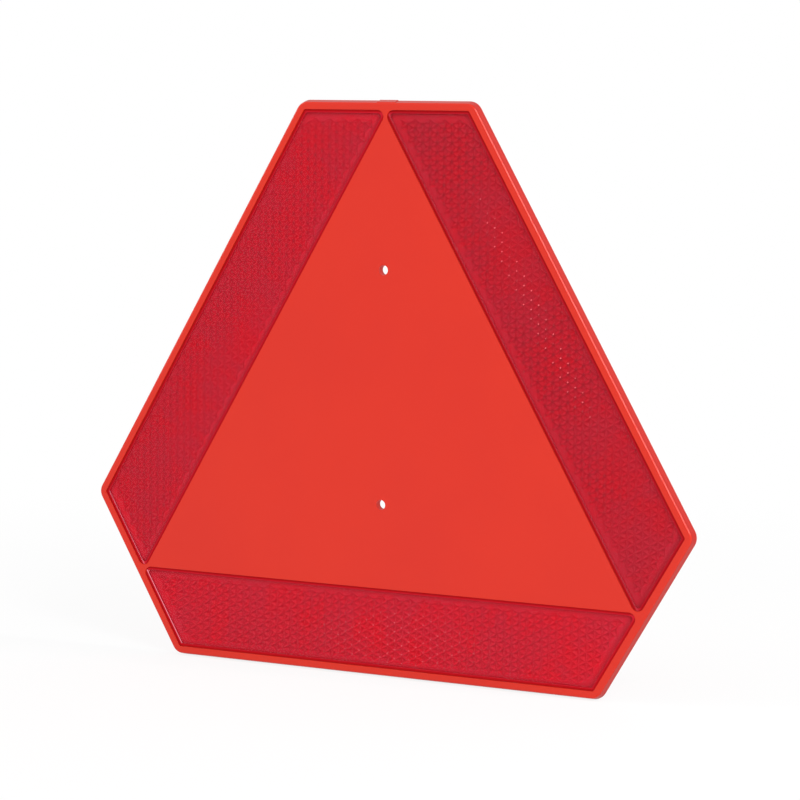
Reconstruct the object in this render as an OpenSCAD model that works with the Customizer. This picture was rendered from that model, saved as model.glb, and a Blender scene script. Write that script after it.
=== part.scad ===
// Rear marking plate for slow vehicles: a moulded tray with a plain warning
// triangle and three prismatic reflectors bonded into pockets around it.
// The plate stands upright, its face towards -Y and its back on Y = 0.
// The origin is midway between the two bolt holes, on the back plane.

/* [Warning triangle] */
// Side of the plain triangle, between the pocket edges
triangle_side = 360; // [300:1:420]
// Thickness of the triangle's panel
panel_t = 2.5; // [1.8:0.1:3]

/* [Rim] */
// Depth of the plate from its face to its back plane
plate_depth = 6; // [5.6:0.1:9]
// Width of the rim's face, pocket edge to the start of the side wall
rim_face_w = 4.9; // [4.4:0.1:8]
// Flare of the side wall from face to back, in degrees
rim_flare = 15; // [2:1:20]
// Radius that rounds the front edge of the rim
rim_edge_r = 1.3; // [0.5:0.1:2]
// Radius of the six outer corners
rim_corner_r = 8; // [4:0.5:14]
// Thickness of the rim's outer wall
rim_wall = 1.8; // [1.2:0.1:2]
// Skin left in front of the channel behind the rim
rim_skin = 2; // [1.4:0.1:3]
// Number of cross webs in the channel along each long side
rim_webs = 9; // [3:1:15]

/* [Reflector pockets] */
// Width of each pocket, inner edge to outer edge
pocket_w = 53.4; // [45:0.1:60]
// Distance that the pockets' short ends lie beyond the triangle's tips
pocket_end = 3.4; // [2:0.1:5]
// Radius of the pockets' sharp corners, which leaves the web between two pockets
pocket_tip_r = 4.5; // [4:0.1:7]
// Radius of the pockets' blunt corners
pocket_blunt_r = 1.8; // [1:0.1:4]
// Thickness of the pocket floor
pocket_floor = 1.2; // [0.8:0.1:1.6]
// Thickness of the pocket's side walls
pocket_wall = 1.4; // [1:0.1:1.8]
// Chamfer on the pocket's front edge
pocket_lip = 0.1; // [0.1:0.1:0.6]

/* [Reflectors] */
// Gap between a reflector and its pocket wall
reflector_gap = 0.15; // [0.1:0.05:1]
// Depth of the reflector's border below the rim's face
border_recess = 0.9; // [0.5:0.1:1.3]
// Width of the flat border around the raised lens
border_w = 2; // [1:0.1:4]
// Height of the raised lens over its border
lens_rise = 0.5; // [0.2:0.1:0.5]
// Width of the rounded edge between border and raised lens
lens_round = 0.6; // [0.2:0.1:1]
// Thickness of the skirt that stands on the pocket floor
skirt_t = 2; // [1:0.1:3]
// Thickness of the clear plate in front of the prisms
lens_plate = 1.5; // [1:0.1:1.8]

/* [Prisms] */
// Largest distance between neighbouring groove crossings; a shallow pocket takes less
prism_pitch = 6.05; // [3:0.05:8]
// Thickness of the pad between the plate and the groove crossings
prism_pad = 0.2; // [0.1:0.05:0.4]
// Least gap between the prisms' tips and the pocket floor
prism_gap = 0.1; // [0.05:0.05:0.5]
// Least distance of the prisms from the skirt
prism_margin = 0.8; // [0.3:0.1:4]
// Distance of the first row of crossings from the pocket's outer edge
prism_row_in = 6.2; // [4:0.1:10]

/* [Bolt holes] */
// Distance between the two bolt holes
hole_spacing = 155; // [100:1:180]
// Diameter of the bolt holes
hole_d = 6.6; // [4.5:0.1:8.5]
// Height of the upper hole over the triangle's centre
upper_hole_h = 107; // [80:1:125]
// Outer diameter of the bosses behind the holes
boss_d = 16; // [12:0.5:22]

/* [Stiffening ribs] */
// Thickness of the ribs behind the triangle
rib_t = 1.6; // [1:0.1:2.5]
// Distance of the ribs' edge from the back plane
rib_set_back = 0.5; // [0.2:0.1:1.5]
// Distance between neighbouring ribs
rib_pitch = 52; // [35:1:80]

/* [Gate pad] */
// Width of the moulding gate's pad on the top edge
gate_w = 13; // [8:1:24]
// Height that the pad stands proud of the side wall
gate_h = 0.4; // [0.3:0.1:1]

/* [Hidden] */
arc_steps = 8;
fine = 48;
eps = 0.01;
// Distance that a cut runs past the faces it opens
past = 1;

triangle_r = triangle_side / (2 * sqrt(3));
tip_r = 2 * triangle_r;
end_r = tip_r + pocket_end;
centre_z = hole_spacing / 2 - upper_hole_h;
border_z = plate_depth - border_recess;
lens_z = border_z + lens_rise;
plate_z = lens_z - lens_plate;
crossing_z = plate_z - prism_pad;
// The three flanks of a prism stand at right angles to each other, so its height is
// the side of its triangle over the root of six.
pitch = min(prism_pitch, (crossing_z - pocket_floor - prism_gap) * sqrt(6));
prism_h = pitch / sqrt(6);
column_gap = pitch * sqrt(3) / 2;
long_angles = [30, 150, 270];

// A side is [angle of its outward normal, distance from the triangle's centre].
rim_sides = [for (a = [30:60:330]) [a, a % 120 == 30 ? triangle_r + pocket_w : end_r]];
rim_radii = [for (s = rim_sides) rim_corner_r - rim_face_w];
// The bottom pocket; the other two are turned copies of it.
pocket_sides = [[90, -triangle_r], [210, end_r], [270, triangle_r + pocket_w], [330, end_r]];
pocket_radii = [pocket_tip_r, pocket_blunt_r, pocket_blunt_r, pocket_tip_r];
triangle_sides = [for (a = long_angles) [a, triangle_r]];
triangle_radii = [for (a = long_angles) pocket_tip_r];

function unit(a) = [cos(a), sin(a)];

// Distance by which the flared side wall stands out at a height over the back plane
function flare(z) = (plate_depth - rim_edge_r - z) * tan(rim_flare);

// Point where two sides meet, each moved outwards by its share of grow
function meet(s, t, grow) =
    let (n = unit(s[0]), m = unit(t[0]), d = s[1] + grow, e = t[1] + grow)
    [d * m.y - e * n.y, n.x * e - m.x * d] / cross(n, m);

// Outline of the sides moved outwards by grow, with an arc at each corner
function outline(sides, radii, grow = 0) =
    let (last = len(sides) - 1)
    [for (i = [0:last])
        let (s = sides[i], t = sides[i == last ? 0 : i + 1], r = max(radii[i] + grow, 0.1),
             turn = (t[0] - s[0] + 360) % 360, c = meet(s, t, grow - r))
        for (k = [0:arc_steps]) c + r * unit(s[0] + turn * k / arc_steps)];

// Closed solid through rings of equal length, each [height, outline]
module loft(rings) {
    n = len(rings[0][1]);
    top = (len(rings) - 1) * n;
    polyhedron(
        points = [for (ring = rings) for (p = ring[1]) [p.x, p.y, ring[0]]],
        faces = concat(
            [[for (i = [0:n - 1]) i]],
            [for (r = [0:len(rings) - 2]) for (i = [0:n - 1])
                let (j = (i + 1) % n)
                [r * n + i, (r + 1) * n + i, (r + 1) * n + j, r * n + j]],
            [[for (i = [n - 1:-1:0]) top + i]]));
}

// Straight-walled solid between two heights
module slab(points, z0, z1) {
    translate([0, 0, z0]) linear_extrude(z1 - z0) polygon(points);
}

// Stands a shape that is drawn face up on its lower edge, its face towards -Y
module upright() {
    translate([0, 0, centre_z]) rotate([90, 0, 0]) children();
}

// Outer form of the tray: flared wall, then a rounded front edge
module rim_body() {
    steps = 5;
    edge = [for (k = [0:steps])
        let (a = rim_flare + (90 - rim_flare) * k / steps)
        [plate_depth + rim_edge_r * (sin(a) - 1), rim_edge_r * (cos(a) - 1)]];
    rings = concat([[0, flare(0)]], edge);
    loft([for (r = rings) [r[0], outline(rim_sides, rim_radii, rim_face_w + r[1])]]);
}

// Pad that follows the flared wall at the middle of the top edge
module gate_pad() {
    inner = end_r + rim_face_w - rim_edge_r;
    outer = end_r + rim_face_w + gate_h;
    top = plate_depth - rim_edge_r / 2;
    translate([-gate_w / 2, 0, 0]) rotate([90, 0, 90]) linear_extrude(gate_w)
        polygon([[inner, 0], [outer + flare(0), 0], [outer, plate_depth - rim_edge_r],
            [inner + rim_edge_r, top], [inner, top]]);
}

module pocket() {
    rings = [[pocket_floor, 0], [plate_depth - pocket_lip, 0], [plate_depth + eps, pocket_lip + eps]];
    loft([for (r = rings) [r[0], outline(pocket_sides, pocket_radii, r[1])]]);
}

// Channel that cores out the rim from behind, crossed by thin webs
module rim_channel() {
    rings = [[-eps, flare(0)], [plate_depth - rim_skin, flare(plate_depth - rim_skin)]];
    difference() {
        loft([for (r = rings) [r[0], outline(rim_sides, rim_radii, rim_face_w - rim_wall + r[1])]]);
        slab(outline(rim_sides, rim_radii, pocket_wall), -past, plate_depth);
        for (a = long_angles) rotate(a) for (k = [0:rim_webs - 1])
            translate([0, (k - (rim_webs - 1) / 2) * triangle_side / rim_webs - rib_t / 2, -past])
                cube([tip_r, rib_t, plate_depth]);
    }
}

// Open back of the triangle
module triangle_recess() {
    slab(outline(triangle_sides, triangle_radii, -pocket_wall), -eps, plate_depth - panel_t);
}

// Ribs parallel to the three sides, laid out from the triangle's centre
module ribs() {
    count = floor(tip_r / rib_pitch);
    intersection() {
        for (a = long_angles) rotate(a) for (k = [-count:count])
            translate([k * rib_pitch - rib_t / 2, -triangle_side / 2, rib_set_back])
                cube([rib_t, triangle_side, plate_depth - panel_t - rib_set_back + eps]);
        slab(outline(triangle_sides, triangle_radii, -pocket_wall / 2), 0, plate_depth);
    }
}

module at_holes() {
    for (h = [upper_hole_h, upper_hole_h - hole_spacing]) translate([0, h, 0]) children();
}

module carrier() {
    color([0.88, 0.24, 0.19]) upright() difference() {
        union() {
            difference() {
                union() {
                    rim_body();
                    gate_pad();
                }
                for (k = [0:2]) rotate(120 * k) pocket();
                rim_channel();
                triangle_recess();
            }
            ribs();
            at_holes() cylinder(d = boss_d, h = plate_depth - panel_t / 2, $fn = fine);
        }
        at_holes() translate([0, 0, -past])
            cylinder(d = hole_d, h = plate_depth + 2 * past, $fn = fine);
    }
}

// True for a point that lies inside the sides, each moved outwards by grow
function within(p, sides, grow) = min([for (s = sides) s[1] + grow - p * unit(s[0])]) >= 0;

// Pad of three-sided corner prisms that point away from the face. The groove crossings
// stand in columns, every other one half a pitch higher, and each triangle between
// three crossings that fits inside the skirt is the base of a prism.
module prisms() {
    half = ceil(triangle_side / 2 / column_gap);
    rows = ceil(pocket_w / pitch) + 1;
    inset = reflector_gap + skirt_t + prism_margin;
    low_y = prism_row_in - triangle_r - pocket_w;
    crossings = [for (i = [-half:half]) for (j = [0:rows])
        [i * column_gap, low_y + (j - 1 + (abs(i) % 2) / 2) * pitch]];
    triangles = [for (i = [0:2 * half - 1]) for (j = [0:rows - 1])
        let (a = i * (rows + 1) + j, b = a + rows + 1, odd = abs(i - half) % 2)
        for (t = [[a + 1, a, b + odd], [b + 1, a + 1 - odd, b]])
            if (min([for (v = t) within(crossings[v], pocket_sides, -inset) ? 1 : 0]) == 1) t];
    n = len(crossings);
    polyhedron(
        points = concat(
            [for (p = crossings) [p.x, p.y, crossing_z]],
            [for (p = crossings) [p.x, p.y, plate_z + lens_plate / 2]],
            [for (t = triangles) let (c = (crossings[t[0]] + crossings[t[1]] + crossings[t[2]]) / 3)
                [c.x, c.y, crossing_z - prism_h]]),
        faces = concat(
            [for (k = [0:len(triangles) - 1]) let (t = triangles[k]) for (e = [0:2])
                [t[e], t[(e + 1) % 3], 2 * n + k]],
            [for (t = triangles) [t[2] + n, t[1] + n, t[0] + n]],
            [for (t = triangles) for (e = [0:2])
                let (a = t[e], b = t[(e + 1) % 3], c = t[(e + 2) % 3])
                if (!within(crossings[a] + crossings[b] - crossings[c], pocket_sides, -inset))
                    [b, a, a + n, b + n]]));
}

// One reflector, drawn for the bottom pocket
module reflector() {
    steps = 4;
    inset = reflector_gap + border_w;
    edge = [for (k = [0:steps])
        let (a = 90 * k / steps)
        [border_z + lens_rise * sin(a), inset + lens_round * (1 - cos(a))]];
    rings = concat([[border_z - lens_rise, inset]], edge);
    difference() {
        union() {
            slab(outline(pocket_sides, pocket_radii, -reflector_gap), pocket_floor, border_z);
            loft([for (r = rings) [r[0], outline(pocket_sides, pocket_radii, -r[1])]]);
        }
        slab(outline(pocket_sides, pocket_radii, -reflector_gap - skirt_t), 0, plate_z);
    }
    prisms();
}

module reflector_left() {
    color([0.75, 0.10, 0.16]) upright() rotate(240) reflector();
}

module reflector_right() {
    color([0.75, 0.10, 0.16]) upright() rotate(120) reflector();
}

module reflector_bottom() {
    color([0.75, 0.10, 0.16]) upright() reflector();
}

carrier();
reflector_left();
reflector_right();
reflector_bottom();
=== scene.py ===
"""Rear marking plate for slow vehicles: finishes, lights and camera.

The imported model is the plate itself. This add-on gives the moulded tray its
red-orange plastic and the three reflectors their clear red acrylic over corner
prisms, and it builds the stage that the plate is photographed on.
"""

import math
from collections import namedtuple

import bpy
from mathutils import Matrix, Vector


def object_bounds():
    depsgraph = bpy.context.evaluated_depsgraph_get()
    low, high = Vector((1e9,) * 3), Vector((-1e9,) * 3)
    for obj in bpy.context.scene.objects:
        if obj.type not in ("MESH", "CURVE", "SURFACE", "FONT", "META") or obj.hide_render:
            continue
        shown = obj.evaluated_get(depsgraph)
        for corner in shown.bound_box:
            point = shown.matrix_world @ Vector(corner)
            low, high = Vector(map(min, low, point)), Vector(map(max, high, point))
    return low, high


bl_info = {
    "name": "Slow Vehicle Plate",
    "version": (1, 0, 0),
    "blender": (4, 5, 0),
    "location": "3D View > Sidebar > Plate",
    "description": "Finishes, lights and camera for a slow vehicle marking plate",
    "category": "Object",
}

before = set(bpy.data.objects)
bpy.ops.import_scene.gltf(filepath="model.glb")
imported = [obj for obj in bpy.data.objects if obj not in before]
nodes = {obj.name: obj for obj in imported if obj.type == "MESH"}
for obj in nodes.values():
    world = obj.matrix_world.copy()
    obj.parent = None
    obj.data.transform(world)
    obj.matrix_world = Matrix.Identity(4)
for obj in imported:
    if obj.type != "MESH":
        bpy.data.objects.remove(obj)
cad_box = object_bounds()

MM = 0.001
WHITE = (1.0, 1.0, 1.0, 1.0)
# The direction that the plate's face looks in, the axis through the plate, and what keeps
# only the part of a vector that lies along its face
OUT_OF_FACE = (0.0, -1.0, 0.0)
THROUGH_PLATE = (0.0, 1.0, 0.0)
ALONG_FACE = (1.0, 0.0, 1.0)

# Height of the triangle's centre, round which the reflectors are turned
CENTRE_Z = -29.5 * MM
# Distances from that centre: the triangle's sides, and the short ends of the pockets
TRIANGLE_R = 360.0 * MM / (2 * math.sqrt(3))
POCKET_END = 2 * TRIANGLE_R + 3.4 * MM
POCKET_W = 53.4 * MM
# The outer side of the bottom pocket, and the first row of groove crossings above it
POCKET_FOOT = -POCKET_W - TRIANGLE_R
FIRST_ROW_Z = 6.2 * MM - POCKET_W - TRIANGLE_R
# Sides of the bottom pocket: angle of the outward normal, distance from the centre
POCKET_SIDES = (
    (90.0, -TRIANGLE_R), (210.0, POCKET_END),
    (270.0, TRIANGLE_R + POCKET_W), (330.0, POCKET_END))
# Outer sides of all three pockets
RIM_SIDES = (
    *((angle, TRIANGLE_R + POCKET_W) for angle in (30.0, 150.0, 270.0)),
    *((angle, POCKET_END) for angle in (90.0, 210.0, 330.0)))
# The flat border round a reflector's raised lens
BORDER_Y = -5.1 * MM
# What lies further back than this in a reflector belongs to its prisms and skirt
FRONT_Y = -4.6 * MM
# Gap and skirt of a reflector, from the pocket wall to its clear front
SKIRT_W = 2.15 * MM
# Length of a prism flank's unit normal along the face
FACET_TILT = math.sqrt(2 / 3)

# Where the painted glints show: a place in the bottom pocket, from the middle of its outer side,
# how far round it they reach, and how strongly they show
Glints = namedtuple("Glints", "along across reach_along reach_across share")
# Each reflector: its turn from the bottom one, and the way that its facets with painted light
# look, both in degrees; how much brighter or darker it is painted, for the light that it sends
# back; how far its painted shade at the groove crossings shows; its painted glints; and how
# strongly the highlight painted on its rounded edge shows along the low side of the plate
Reflector = namedtuple("Reflector", "turn bright_side tone spots glints catch")
REFLECTORS = {
    "reflector_bottom": Reflector(
        turn=0.0, bright_side=120.0, tone=0.95, spots=0.5,
        glints=Glints(12.0 * MM, 20.0 * MM, 75.0 * MM, 24.0 * MM, 0.6), catch=1.0),
    "reflector_right": Reflector(
        turn=120.0, bright_side=140.0, tone=0.82, spots=1.0,
        glints=Glints(20.0 * MM, 22.5 * MM, 105.0 * MM, 8.5 * MM, 1.0), catch=0.12),
    "reflector_left": Reflector(
        turn=240.0, bright_side=180.0, tone=0.93, spots=0.8, glints=None, catch=0.5),
}
# Outward normal of the low side, along whose rounded edges a highlight is painted
LOW_SIDE = 210.0
# Painted light and shade on a reflector's margin along a side, by that side's outward normal
PAINTED_SIDE_LIGHT = {30.0: 0.84, 90.0: 0.84, 150.0: 0.98, 210.0: 1.04, 270.0: 0.95, 330.0: 0.75}

# The photograph's camera, fitted to the edges of the pockets
CAMERA_PLACE = (0.78836, -1.60619, 0.17879)
CAMERA_FORWARD = (-0.433563, 0.895104, -0.103977)
CAMERA_UP = (-0.056285, 0.088261, 0.994506)
# Width of its sensor in millimetres, and how near and how far it sees in metres
SENSOR_W = 36.0
CAMERA_RANGE = (0.01, 50.0)
# Sides of the round floor
FLOOR_SIDES = 96
# Each lamp: where it stands, where it points, and its width and height
Lamp = namedtuple("Lamp", "place target size")
LAMPS = {
    "key": Lamp((1.5, -1.35, 1.25), (0.0, 0.0, 0.0), (0.5, 1.2)),
    "rim": Lamp((1.5, 0.1, 1.1), (0.1, 0.0, 0.0), (0.2, 0.6)),
    "left": Lamp((-1.9, -0.9, 0.9), (0.0, 0.0, 0.0), (1.0, 1.4)),
}


class PlateCarrierSettings(bpy.types.PropertyGroup):
    """Finish of the moulded tray."""

    colour: bpy.props.FloatVectorProperty(
        name="Plastic colour", description="Red-orange of the moulded plastic, linear",
        subtype="COLOR", size=3, min=0, max=1, default=(0.677, 0.0205, 0.0066))
    cloud_colour: bpy.props.FloatVectorProperty(
        name="Cloud colour", description="Slightly yellower tone where the melt flowed thinner",
        subtype="COLOR", size=3, min=0, max=1, default=(0.696, 0.0230, 0.0066))
    # Painted shade: a darker red for the outer wall, which offsets the stage light that it
    # catches and mirrors
    outer_wall_shade: bpy.props.FloatVectorProperty(
        name="Wall colour", description="Deeper red of the thin outer wall, linear",
        subtype="COLOR", size=3, min=0, max=1, default=(0.48, 0.008, 0.001))
    roughness: bpy.props.FloatProperty(
        name="Roughness", description="Roughness of the moulded face",
        subtype="FACTOR", min=0, max=1, default=0.15)


class PlateReflectorSettings(bpy.types.PropertyGroup):
    """Finish of the three reflectors."""

    prism_colour: bpy.props.FloatVectorProperty(
        name="Prism colour", description="Red sent back by the prisms, linear",
        subtype="COLOR", size=3, min=0, max=1, default=(0.84, 0.0205, 0.050))
    lively_colour: bpy.props.FloatVectorProperty(
        name="Lively colour", description="Where the prisms send back a purer red, linear",
        subtype="COLOR", size=3, min=0, max=1, default=(0.97, 0.0100, 0.030))
    # Painted shade at the groove crossings, where the prisms send less light back
    crossing_shade_colour: bpy.props.FloatVectorProperty(
        name="Crossing colour", description="Dark red where six prisms meet, linear",
        subtype="COLOR", size=3, min=0, max=1, default=(0.60, 0.0125, 0.028))
    # Painted glints: colour of the glossy sparks laid in a fixed band
    painted_glint_colour: bpy.props.FloatVectorProperty(
        name="Glint colour", description="Of the small sparks by the groove crossings, linear",
        subtype="COLOR", size=3, min=0, max=1, default=(1.0, 0.15, 0.175))
    # Painted highlight: colour of the gloss on the rounded edge along the low side
    painted_highlight_colour: bpy.props.FloatVectorProperty(
        name="Rounded edge colour", description="Where the front's rounded edge mirrors, linear",
        subtype="COLOR", size=3, min=0, max=1, default=(1.0, 0.27, 0.34))
    # Painted shade along the pocket wall
    pocket_shade_colour: bpy.props.FloatVectorProperty(
        name="Edge colour", description="Dark red along the pocket wall, linear",
        subtype="COLOR", size=3, min=0, max=1, default=(0.48, 0.0022, 0.0066))
    margin_colour: bpy.props.FloatVectorProperty(
        name="Margin colour", description="Of the smooth margin round the prisms, linear",
        subtype="COLOR", size=3, min=0, max=1, default=(0.65, 0.0125, 0.030))
    # Painted light and shade on the facets, by the way that they face
    painted_facet_light: bpy.props.FloatProperty(
        name="Facet contrast", description="How much brighter or darker a facet can be",
        subtype="FACTOR", min=0, max=0.5, default=0.12)
    mirror: bpy.props.FloatProperty(
        name="Mirror", description="Share of light that the polished front mirrors head on",
        subtype="FACTOR", min=0, max=0.1, default=0.005)
    spot_radius: bpy.props.FloatProperty(
        name="Spot radius", description="Radius of the dark spot at a groove crossing",
        subtype="DISTANCE", unit="LENGTH", min=0.0001, max=0.003, default=1.15 * MM)
    pitch: bpy.props.FloatProperty(
        name="Pitch", description="Distance between neighbouring groove crossings",
        subtype="DISTANCE", unit="LENGTH", min=0.001, max=0.02, default=6.05 * MM)


class PlateStageSettings(bpy.types.PropertyGroup):
    """Floor, lights and camera."""

    floor_colour: bpy.props.FloatVectorProperty(
        name="Floor colour", description="Pale floor, linear",
        subtype="COLOR", size=3, min=0, max=1, default=(0.9, 0.9, 0.9))
    floor_radius: bpy.props.FloatProperty(
        name="Floor radius", description="Of the round floor",
        subtype="DISTANCE", unit="LENGTH", min=0.5, max=20, default=3.0)
    fill: bpy.props.FloatProperty(
        name="Fill", description="Strength of the light from all round",
        min=0, max=2, default=0.6)
    key_power: bpy.props.FloatProperty(
        name="Key power", description="Power of the soft lamp on the right",
        subtype="POWER", unit="POWER", min=0, max=500, default=22)
    rim_power: bpy.props.FloatProperty(
        name="Rim power", description="Power of the lamp beside the plate, which grazes its rim",
        subtype="POWER", unit="POWER", min=0, max=500, default=12)
    left_power: bpy.props.FloatProperty(
        name="Left power", description="Power of the soft lamp on the left",
        subtype="POWER", unit="POWER", min=0, max=500, default=15)
    focal_length: bpy.props.FloatProperty(
        name="Focal length", description="Of a camera with a 36 mm sensor",
        unit="CAMERA", min=20, max=400, default=122.8)


class Nodes:
    """Short ways to add and link the shader nodes of one material or world."""

    def __init__(self, owner):
        self.owner = owner
        owner.use_nodes = True
        self.tree = owner.node_tree
        self.tree.nodes.clear()

    def add(self, kind, inputs=(), **settings):
        node = self.tree.nodes.new("ShaderNode" + kind)
        for key, value in settings.items():
            setattr(node, key, value)
        for key, value in dict(inputs).items():
            self.feed(node, key, value)
        return node

    def feed(self, node, key, value):
        if isinstance(value, bpy.types.NodeSocket):
            self.tree.links.new(value, node.inputs[key])
        else:
            node.inputs[key].default_value = value

    def first(self, kind, inputs=(), **settings):
        """Adds a node, and gives its first output."""
        return self.add(kind, inputs, **settings).outputs[0]

    def math(self, operation, a, b=None, c=None):
        values = {i: v for i, v in enumerate((a, b, c)) if v is not None}
        return self.first("Math", values, operation=operation)

    def smallest(self, values):
        """The smallest of any number of values."""
        least, *others = values
        for value in others:
            least = self.math("MINIMUM", least, value)
        return least

    def vector(self, operation, a, b=None, c=None):
        values = {i: v for i, v in enumerate((a, b, c)) if v is not None}
        node = self.add("VectorMath", values, operation=operation)
        return node.outputs["Value" if operation in ("LENGTH", "DOT_PRODUCT") else "Vector"]

    def scale(self, colour, factor):
        """A colour made brighter or darker by a factor."""
        return self.first("VectorMath", {0: colour, 3: factor}, operation="SCALE")

    def mix(self, factor, a, b):
        """Colour a, turning into b as the factor goes to 1."""
        return self.add("Mix", {0: factor, 6: a, 7: b}, data_type="RGBA").outputs[2]

    def blend(self, factor, a, b):
        """Shader a, turning into b as the factor goes to 1."""
        return self.first("MixShader", {0: factor, 1: a, 2: b})

    def ramp(self, value, low, high, start, end, kind="LINEAR"):
        """From start, where the value is low, to end, where it is high."""
        return self.first("MapRange", {0: value, 1: low, 2: high, 3: start, 4: end},
                          interpolation_type=kind)

    def band(self, value, low, high):
        """0 on the low side and 1 on the high side, smooth between."""
        return self.ramp(value, low, high, 0.0, 1.0, "SMOOTHSTEP")

    def output(self, shader, kind="OutputMaterial"):
        self.add(kind, {"Surface": shader})
        return self.owner


def rgb(colour):
    return (*colour, 1.0)


def toned(colour, tone):
    """A colour made brighter or darker."""
    return rgb([tone * part for part in colour])


def side_distance(n, place, angle, reach):
    """Distance inwards from a side, given by its outward normal and its reach."""
    turn = math.radians(angle)
    along = n.vector("DOT_PRODUCT", place, (math.cos(turn), 0.0, math.sin(turn)))
    return n.math("SUBTRACT", reach, along)


def distance_inside(n, place, sides):
    """Distance inwards from the nearest of some sides, for a place seen from the centre."""
    return n.smallest(side_distance(n, place, *side) for side in sides)


# Melt clouds and orange peel of the moulded plastic
MELT_CLOUDS = {"Scale": 9.0, "Detail": 3.0, "Roughness": 0.5}
CLOUD_BAND = (0.35, 0.65)
ORANGE_PEEL = {"Scale": 900.0, "Detail": 2.0, "Roughness": 0.5}
PEEL_BUMP = {"Strength": 0.12, "Distance": 0.05 * MM}
PLASTIC_GLOSS = {"IOR": 1.5, "Specular IOR Level": 0.33}
# How far the clouds change the roughness, over which part of their range
GLOSS_DRIFT = 0.03
GLOSS_RANGE = (0.3, 0.7)
# What is further out than this from the pockets belongs to the rim
RIM_BAND = (-2.5 * MM, -1.5 * MM)
# How squarely a face looks out where the painted shade of its outer wall ends, and where its
# polish ends: on the small edges of the pockets, and on the outer wall
WALL_FACING = (0.25, 0.75)
POCKET_EDGE_FACING = (0.98, 0.9)
OUTER_WALL_FACING = (0.4, 0.15)
MATT_ROUGHNESS = 0.4


def carrier_plastic(settings):
    """Moulded red-orange plastic: faint melt clouds, fine orange peel, satin gloss."""
    n = Nodes(bpy.data.materials.new("carrier plastic"))
    place = n.add("TexCoord").outputs["Object"]
    clouds = n.first("TexNoise", {"Vector": place, **MELT_CLOUDS})
    peel = n.first("TexNoise", {"Vector": place, **ORANGE_PEEL})
    face = n.mix(n.band(clouds, *CLOUD_BAND), rgb(settings.colour), rgb(settings.cloud_colour))
    front = n.vector("DOT_PRODUCT", n.add("NewGeometry").outputs["Normal"], OUT_OF_FACE)
    from_centre = n.vector("SUBTRACT", place, (0.0, 0.0, CENTRE_Z))
    within = n.band(distance_inside(n, from_centre, RIM_SIDES), *RIM_BAND)
    # Painted shade: the outer wall is painted a darker red, to offset the white stage light that
    # it catches at a grazing angle.
    not_wall = n.math("MAXIMUM", n.band(front, *WALL_FACING), within)
    colour = n.mix(not_wall, rgb(settings.outer_wall_shade), face)
    # The outer wall and the small edges of the pockets are less polished than the face.
    pocket_edge = n.math("MULTIPLY", within, n.band(front, *POCKET_EDGE_FACING))
    matt = n.math("MAXIMUM", pocket_edge, n.band(front, *OUTER_WALL_FACING))
    drifting = n.ramp(clouds, *GLOSS_RANGE,
                      settings.roughness - GLOSS_DRIFT, settings.roughness + GLOSS_DRIFT)
    roughness = n.math("MULTIPLY_ADD", matt, MATT_ROUGHNESS, drifting)
    bump = n.first("Bump", {"Height": peel, **PEEL_BUMP})
    return n.output(n.first("BsdfPrincipled", {
        "Base Color": colour, "Roughness": roughness, "Normal": bump, **PLASTIC_GLOSS}))


# A side's painted light and shade on the margin fades in between these distances from the side
MARGIN_REACH = (6.5 * MM, 3.0 * MM)
# Prisms: drifts of their red, finer grains that are longer across the pocket than along it,
# and where clouds and grains together turn the red purer
RED_CLOUDS = {"Scale": 26.0, "Detail": 3.0, "Roughness": 0.6}
GRAINS_PER_METRE = (150.0, 150.0, 60.0)
GRAINS = {"Scale": 1.0, "Detail": 1.0}
GRAIN_SHARE = 0.5
LIVELY_BAND = (0.5, 1.05)
# How squarely the level underside looks out, against the prisms' flanks, and the painted shade
# that darkens it
UNDERSIDE_FACING = (0.7, 0.9)
UNDERSIDE_PAINTED_SHADE = 0.71
# Dark spots of painted shade at the crossings: their soft edge as shares of the radius, and
# where they fade out
SPOT_EDGE = (1.8, 0.2)
SPOT_DRIFT = {"Scale": 14.0, "Detail": 0.0}
SPOT_BAND = (0.25, 0.6)
# The margin turns into the prism field between these distances from the pocket wall
FIELD_BAND = (SKIRT_W + 0.4 * MM, SKIRT_W + 2.2 * MM)
PRISM_GLOSS = {"Roughness": 0.5, "IOR": 1.49, "Specular IOR Level": 0.1}
# Share of a face's own normal in its shading, and of the direction out of the plate
OWN_NORMAL = (0.1, 0.1, 0.1)
SHARED_NORMAL = (0.0, -0.9, 0.0)
# Painted glints: each lies a little above the groove crossing that it belongs to. It has a soft
# edge, the glints fade out towards the end of their reach, and some are missing
GLINT_SHIFT = (-0.3 * MM, 0.0, 0.9 * MM)
GLINT_EDGE = (0.8 * MM, 0.2 * MM)
GLINT_FADE = (1.1, 0.6)
GLINT_GAPS = {"Scale": 260.0, "Detail": 0.0}
GLINT_BAND = (0.2, 0.5)
SPARK_ROUGHNESS = 0.15
# Painted light: a glow that stands in for the light that the acrylic carries into its skirt
PAINTED_GLOW_STRENGTH = 0.65
PAINTED_GLOW_BAND = (SKIRT_W + 0.1 * MM, SKIRT_W)
# Front: from the painted shade along the pocket wall to the margin, from the border to the clear
# front, and the rounded edge between the two that carries a painted highlight, by distance from
# the pocket wall
DEEP_BAND = (1.2 * MM, 2.0 * MM)
CLEAR_BAND = (BORDER_Y - 0.05 * MM, BORDER_Y - 0.25 * MM)
ROUNDED_BEGINS = (1.9 * MM, 2.15 * MM)
ROUNDED_ENDS = (3.0 * MM, 2.7 * MM)
# A place belongs to a side that is at most this much further away than the nearest one
SIDE_SLACK = 0.3 * MM
# Polish: how fast it mirrors more towards a grazing view, how much of that the border keeps,
# and how much more the lens does
POLISH_ROUGHNESS = 0.06
GRAZING_POWER = 3.5
GRAZING_BORDER = 0.1
GRAZING_LENS_MORE = 0.8
# Faces that look into the acrylic don't mirror
OUTSIDE_BAND = (0.0, 0.1)

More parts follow.
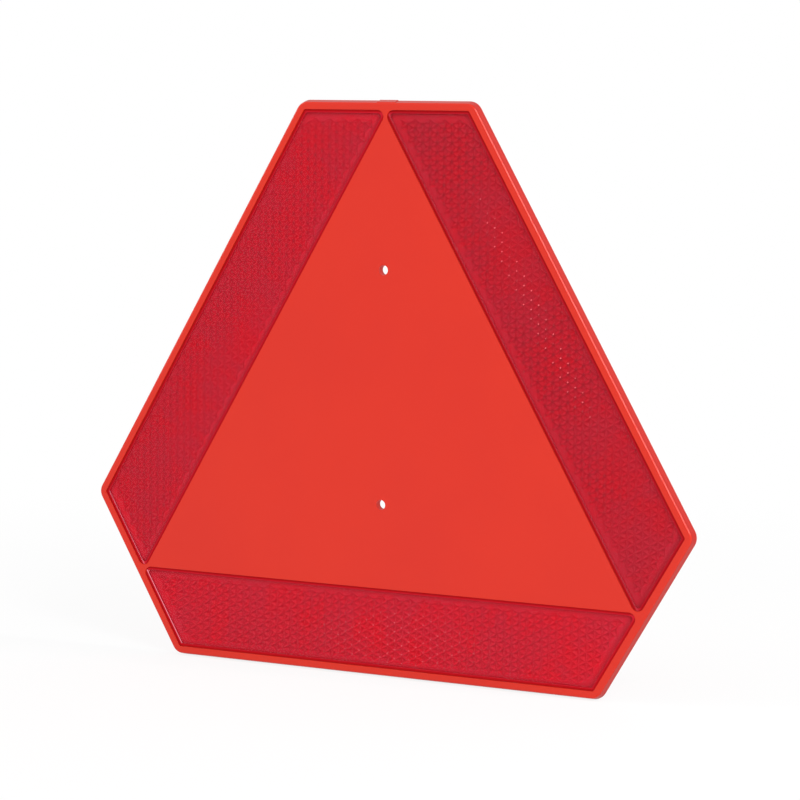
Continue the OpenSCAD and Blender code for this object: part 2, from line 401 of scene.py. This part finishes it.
# What the shaders of a reflector read of the point that they shade: its place; the same as
# if the reflector were the bottom one; its distance from the nearest side of the pocket; its
# normal; the normal that it is shaded with, and the one that it mirrors with; and the painted
# light and shade of the sides near it
Point = namedtuple("Point", "place turned inside normal level forwards tone")


def turned_place(n, node, shift=(0.0, 0.0, 0.0)):
    """Object coordinates of a reflector, as if it were the bottom one, round the centre."""
    return n.first("Mapping", {
        "Vector": n.add("TexCoord").outputs["Object"],
        "Location": (shift[0], 0.0, CENTRE_Z + shift[2]),
        "Rotation": (0.0, math.radians(-REFLECTORS[node].turn), 0.0)}, vector_type="TEXTURE")


def painted_side_light(n, node, turned):
    """Painted light and shade on the margin at a place, from the sides that are near."""
    tone = 1.0
    for angle, reach in POCKET_SIDES:
        lit = PAINTED_SIDE_LIGHT[(angle + REFLECTORS[node].turn) % 360.0]
        near = n.band(side_distance(n, turned, angle, reach), *MARGIN_REACH)
        tone = n.math("MULTIPLY", n.math("MULTIPLY_ADD", near, lit - 1.0, 1.0), tone)
    return tone


def shaded_point(n, node):
    """All that the shaders of a reflector read, made once for its front and its prisms."""
    normal = n.add("NewGeometry").outputs["Normal"]
    turned = turned_place(n, node)
    # Light goes round inside the acrylic, so its faces shade more alike than they lie.
    level = n.vector("MULTIPLY_ADD", normal, OWN_NORMAL, SHARED_NORMAL)
    forwards = n.vector("MULTIPLY", normal, THROUGH_PLATE)
    return Point(
        place=n.add("TexCoord").outputs["Object"], turned=turned,
        inside=distance_inside(n, turned, POCKET_SIDES), normal=normal,
        level=n.vector("NORMALIZE", level), forwards=n.vector("NORMALIZE", forwards),
        tone=painted_side_light(n, node, turned))


def crossing_distance(n, turned, pitch):
    """Distance of a turned place to the nearest groove crossing, in staggered columns."""
    gap = pitch * math.sqrt(3) / 2
    first_column = n.vector("SUBTRACT", turned, (0.0, 0.0, FIRST_ROW_Z))
    next_column = n.vector("ADD", first_column, (gap, 0.0, pitch / 2))
    distances = []
    for column in (first_column, next_column):
        cell = n.vector("WRAP", column, (gap, 1.0, pitch / 2), (-gap, -1.0, -pitch / 2))
        distances.append(n.vector("LENGTH", n.vector("MULTIPLY", cell, ALONG_FACE)))
    return n.smallest(distances)


def glints(n, node, turned, pitch):
    """Painted glints: small glossy sparks by the groove crossings, in a fixed part of a
    reflector.
    """
    area = REFLECTORS[node].glints
    from_middle = n.vector("SUBTRACT", turned, (area.along, 0.0, POCKET_FOOT + area.across))
    away = n.vector("LENGTH", n.vector(
        "MULTIPLY", from_middle, (1 / area.reach_along, 0.0, 1 / area.reach_across)))
    shifted = turned_place(n, node, GLINT_SHIFT)
    painted_spark = n.band(crossing_distance(n, shifted, pitch), *GLINT_EDGE)
    gaps = n.first("TexNoise", {"Vector": turned, **GLINT_GAPS})
    where = n.math("MULTIPLY", n.band(away, *GLINT_FADE), n.band(gaps, *GLINT_BAND))
    return n.math("MULTIPLY", n.math("MULTIPLY", painted_spark, where), area.share)


def prism_field(n, settings, node, point):
    """Drifting red, with painted light on one side of each prism and painted shade in dark spots
    at the crossings.
    """
    reflector = REFLECTORS[node]
    clouds = n.first("TexNoise", {"Vector": point.place, **RED_CLOUDS})
    grains = n.first("TexNoise", {
        "Vector": n.vector("MULTIPLY", point.turned, GRAINS_PER_METRE), **GRAINS})
    lively = n.math("MULTIPLY_ADD", grains, GRAIN_SHARE, clouds)
    # Painted light: each reflector's red is made brighter or darker by its tone, for the light
    # that it sends back.
    field = n.mix(n.band(lively, *LIVELY_BAND), toned(settings.prism_colour, reflector.tone),
                  toned(settings.lively_colour, reflector.tone))
    # Painted light and shade: facets that face the lit side are painted brighter, the others
    # darker.
    side = math.radians(reflector.bright_side)
    contrast = settings.painted_facet_light / FACET_TILT
    facet_light = n.vector("DOT_PRODUCT", point.normal,
                      (contrast * math.cos(side), 0.0, contrast * math.sin(side)))
    field = n.scale(field, n.math("ADD", facet_light, 1.0))
    # Painted shade: the level underside round the prisms lies open to the light and their flanks
    # don't, so it is painted darker.
    square = n.math("ABSOLUTE", n.vector("DOT_PRODUCT", point.normal, THROUGH_PLATE))
    shaded_underside = n.scale(field, UNDERSIDE_PAINTED_SHADE)
    field = n.mix(n.band(square, *UNDERSIDE_FACING), field, shaded_underside)
    # Painted shade: dark spots at the groove crossings, where the prisms send less light back.
    spots = n.band(crossing_distance(n, point.turned, settings.pitch),
                   *(settings.spot_radius * share for share in SPOT_EDGE))
    drift = n.first("TexNoise", {"Vector": point.place, **SPOT_DRIFT})
    shown = n.math("MULTIPLY", spots, n.band(drift, *SPOT_BAND))
    shown = n.math("MULTIPLY", shown, reflector.spots)
    return n.mix(shown, field, toned(settings.crossing_shade_colour, reflector.tone))


def acrylic_behind(n, settings, node, point):
    """The prisms and the skirt, as they are seen through the clear front."""
    # Painted light: the margin is made brighter or darker by the reflector's tone.
    margin = toned(settings.margin_colour, REFLECTORS[node].tone)
    field = prism_field(n, settings, node, point)
    # Painted light and shade: the margin and prisms take the tone of the sides near them.
    colour = n.scale(n.mix(n.band(point.inside, *FIELD_BAND), margin, field), point.tone)
    prisms = n.first("BsdfPrincipled", {
        "Base Color": colour, "Normal": point.level, **PRISM_GLOSS})
    # Painted glints: glossy sparks mixed over the prisms in a fixed band.
    if REFLECTORS[node].glints:
        painted_spark = n.first("BsdfGlossy", {
            "Color": rgb(settings.painted_glint_colour), "Roughness": SPARK_ROUGHNESS,
            "Normal": point.forwards})
        prisms = n.blend(glints(n, node, point.turned, settings.pitch), prisms, painted_spark)
    # Painted light: the skirt glows, standing in for the light that the acrylic carries into it,
    # which the opaque shading here keeps out of it.
    painted_glow = n.first("Emission", {"Color": margin, "Strength": PAINTED_GLOW_STRENGTH})
    return n.blend(n.band(point.inside, *PAINTED_GLOW_BAND), prisms, painted_glow)


def painted_edge_highlight(n, node, point):
    """Painted highlight: a pink gloss where the front's rounded edge mirrors, along the low side
    of the plate only.
    """
    reflector = REFLECTORS[node]
    side = (LOW_SIDE - reflector.turn) % 360.0
    away = side_distance(n, point.turned, side, dict(POCKET_SIDES)[side])
    line = n.math("MULTIPLY", n.band(away, *ROUNDED_BEGINS), n.band(away, *ROUNDED_ENDS))
    this_side = n.band(n.math("SUBTRACT", away, point.inside), SIDE_SLACK, 0.0)
    return n.math("MULTIPLY", n.math("MULTIPLY", line, this_side), reflector.catch)


def acrylic_front(n, settings, node, point, depth):
    """Polished front: clear over the prisms, and over the skirt the acrylic's red, with painted
    shade along the pocket wall.
    """
    # Painted light: the skirt's colours are made brighter or darker by the reflector's tone.
    tone = REFLECTORS[node].tone
    shaded_skirt_colour = n.mix(n.band(point.inside, *DEEP_BAND), toned(settings.pocket_shade_colour, tone),
                 toned(settings.margin_colour, tone))
    # Painted light: the near sides' tone, only where it brightens the skirt.
    shaded_skirt_colour = n.scale(shaded_skirt_colour, n.math("MAXIMUM", point.tone, 1.0))
    skirt = n.first("BsdfDiffuse", {"Color": shaded_skirt_colour, "Normal": point.level})
    clear = n.first("BsdfTransparent", {"Color": WHITE})
    open_front = n.band(depth, *CLEAR_BAND)
    body = n.blend(open_front, skirt, clear)

    facing = n.add("LayerWeight", {"Blend": 0.5}).outputs["Facing"]
    grazing = n.math("MULTIPLY", n.math("POWER", facing, GRAZING_POWER),
                     n.math("MULTIPLY_ADD", open_front, GRAZING_LENS_MORE, GRAZING_BORDER))
    outside = n.band(n.vector("DOT_PRODUCT", point.normal, OUT_OF_FACE), *OUTSIDE_BAND)
    sheen = n.math("MULTIPLY", n.math("ADD", grazing, settings.mirror), outside)
    polish = n.first("BsdfGlossy", {"Color": WHITE, "Roughness": POLISH_ROUGHNESS})
    front = n.blend(sheen, body, polish)
    # Painted highlight: a pink gloss laid on the rounded edge along the low side only.
    edge_highlight_gloss = n.first("BsdfGlossy", {
        "Color": rgb(settings.painted_highlight_colour), "Roughness": SPARK_ROUGHNESS,
        "Normal": point.forwards})
    return n.blend(n.math("MULTIPLY", painted_edge_highlight(n, node, point), outside), front, edge_highlight_gloss)


def reflector_acrylic(settings, node):
    """Clear polished front; behind it red prisms, with painted shade where their grooves cross.
    """
    n = Nodes(bpy.data.materials.new(node.replace("_", " ") + " acrylic"))
    point = shaded_point(n, node)
    depth = n.add("SeparateXYZ", {0: point.place}).outputs["Y"]
    behind = n.math("GREATER_THAN", depth, FRONT_Y)
    return n.output(n.blend(behind, acrylic_front(n, settings, node, point, depth),
                            acrylic_behind(n, settings, node, point)))


def seen_directly(n):
    """1 for what the camera sees, also in a mirror or through glass."""
    path = n.add("LightPath")
    direct = n.math("MAXIMUM", path.outputs["Is Camera Ray"], path.outputs["Is Glossy Ray"])
    return n.math("MAXIMUM", direct, path.outputs["Is Transmission Ray"])


# The floor's white grows from the share under the plate to all of it, over these distances
FLOOR_FADE = (0.2, 1.0)
FLOOR_WHITE = (0.85, 1.0)


def floor_paint(settings):
    """Pale floor that keeps a soft shadow and fades into the white background."""
    n = Nodes(bpy.data.materials.new("pale floor"))
    paint = n.first("BsdfDiffuse", {"Color": rgb(settings.floor_colour)})
    white = n.first("Emission", {"Color": WHITE, "Strength": 1.0})
    place = n.add("TexCoord").outputs["Object"]
    away = n.vector("LENGTH", n.vector("MULTIPLY", place, (1.0, 1.0, 0.0)))
    fade = n.ramp(away, *FLOOR_FADE, *FLOOR_WHITE, "SMOOTHSTEP")
    return n.output(n.blend(n.math("MULTIPLY", seen_directly(n), fade), paint, white))


def white_studio(settings):
    """World that fills in the shadows from all round, and that looks white."""
    n = Nodes(bpy.data.worlds.new("white studio"))
    strength = n.math("MULTIPLY_ADD", seen_directly(n), 1.0 - settings.fill, settings.fill)
    sky = n.first("Background", {"Color": WHITE, "Strength": strength})
    return n.output(sky, "OutputWorld")


def dress(node, material):
    """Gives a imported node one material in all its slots."""
    piece = nodes[node]
    if not piece.material_slots:
        raise RuntimeError(f"{node} has no material slot")
    for slot in piece.material_slots:
        slot.material = material


class PLATE_OT_carrier(bpy.types.Operator):
    """Gives the moulded tray its red-orange plastic"""

    bl_idname = "plate.carrier"
    bl_label = "Carrier"

    def execute(self, context):
        dress("carrier", carrier_plastic(context.scene.plate_carrier))
        return {"FINISHED"}


class PLATE_OT_reflectors(bpy.types.Operator):
    """Gives the three reflectors their clear front and red prisms"""

    bl_idname = "plate.reflectors"
    bl_label = "Reflectors"

    def execute(self, context):
        for node in REFLECTORS:
            dress(node, reflector_acrylic(context.scene.plate_reflectors, node))
        return {"FINISHED"}


def add_floor(settings):
    """Round floor under the lowest edge of the plate."""
    bpy.ops.object.select_all(action="DESELECT")
    bpy.ops.mesh.primitive_circle_add(
        vertices=FLOOR_SIDES, radius=settings.floor_radius, fill_type="NGON",
        location=(0.0, 0.0, cad_box[0].z))
    floor = bpy.context.active_object
    floor.name = "floor"
    bpy.ops.object.transform_apply(location=True, rotation=True, scale=True)
    floor.data.materials.append(floor_paint(settings))


def add_lamp(name, lamp, power):
    """Soft rectangular lamp that points at its target."""
    bpy.ops.object.light_add(type="AREA", location=lamp.place)
    light = bpy.context.active_object
    light.name = name
    aim = Vector(lamp.target) - Vector(lamp.place)
    light.rotation_euler = aim.to_track_quat("-Z", "Y").to_euler()
    light.data.shape = "RECTANGLE"
    light.data.size, light.data.size_y = lamp.size
    light.data.energy = power


def add_camera(focal_length):
    """The camera that the photograph was taken with, as fitted."""
    bpy.ops.object.camera_add(location=CAMERA_PLACE)
    camera = bpy.context.active_object
    camera.name = "camera"
    forward, up = Vector(CAMERA_FORWARD), Vector(CAMERA_UP)
    right = forward.cross(up).normalized()
    up = right.cross(forward).normalized()
    camera.rotation_euler = Matrix((right, up, -forward.normalized())).transposed().to_euler()
    camera.data.sensor_width = SENSOR_W
    camera.data.lens = focal_length
    camera.data.clip_start, camera.data.clip_end = CAMERA_RANGE
    return camera


class PLATE_OT_stage(bpy.types.Operator):
    """Builds the white stage, the lights and the camera"""

    bl_idname = "plate.stage"
    bl_label = "Stage"

    def execute(self, context):
        scene = context.scene
        settings = scene.plate_stage
        add_floor(settings)
        scene.world = white_studio(settings)
        for name, lamp in LAMPS.items():
            add_lamp(name + " lamp", lamp, getattr(settings, name + "_power"))
        scene.camera = add_camera(settings.focal_length)
        scene.view_settings.view_transform = "Standard"
        return {"FINISHED"}


# Each part of the panel: its settings' name in the scene, those settings, and its operator
PARTS = (
    ("plate_carrier", PlateCarrierSettings, PLATE_OT_carrier),
    ("plate_reflectors", PlateReflectorSettings, PLATE_OT_reflectors),
    ("plate_stage", PlateStageSettings, PLATE_OT_stage),
)


class PLATE_PT_panel(bpy.types.Panel):
    """Lists the pieces and the stage"""

    bl_idname = "PLATE_PT_panel"
    bl_label = "Slow Vehicle Plate"
    bl_space_type = "VIEW_3D"
    bl_region_type = "UI"
    bl_category = "Plate"

    def draw(self, context):
        for name, settings, operator in PARTS:
            box = self.layout.box()
            for key in settings.__annotations__:
                box.prop(getattr(context.scene, name), key)
            box.operator(operator.bl_idname)


CLASSES = (*(cls for _, *pair in PARTS for cls in pair), PLATE_PT_panel)


def register():
    for cls in CLASSES:
        bpy.utils.register_class(cls)
    for name, settings, _ in PARTS:
        setattr(bpy.types.Scene, name, bpy.props.PointerProperty(type=settings))


def unregister():
    for name, *_ in PARTS:
        delattr(bpy.types.Scene, name)
    for cls in reversed(CLASSES):
        bpy.utils.unregister_class(cls)


def main():
    register()
    bpy.ops.plate.carrier()
    bpy.ops.plate.reflectors()
    bpy.ops.plate.stage()


if __name__ == "__main__":
    main()
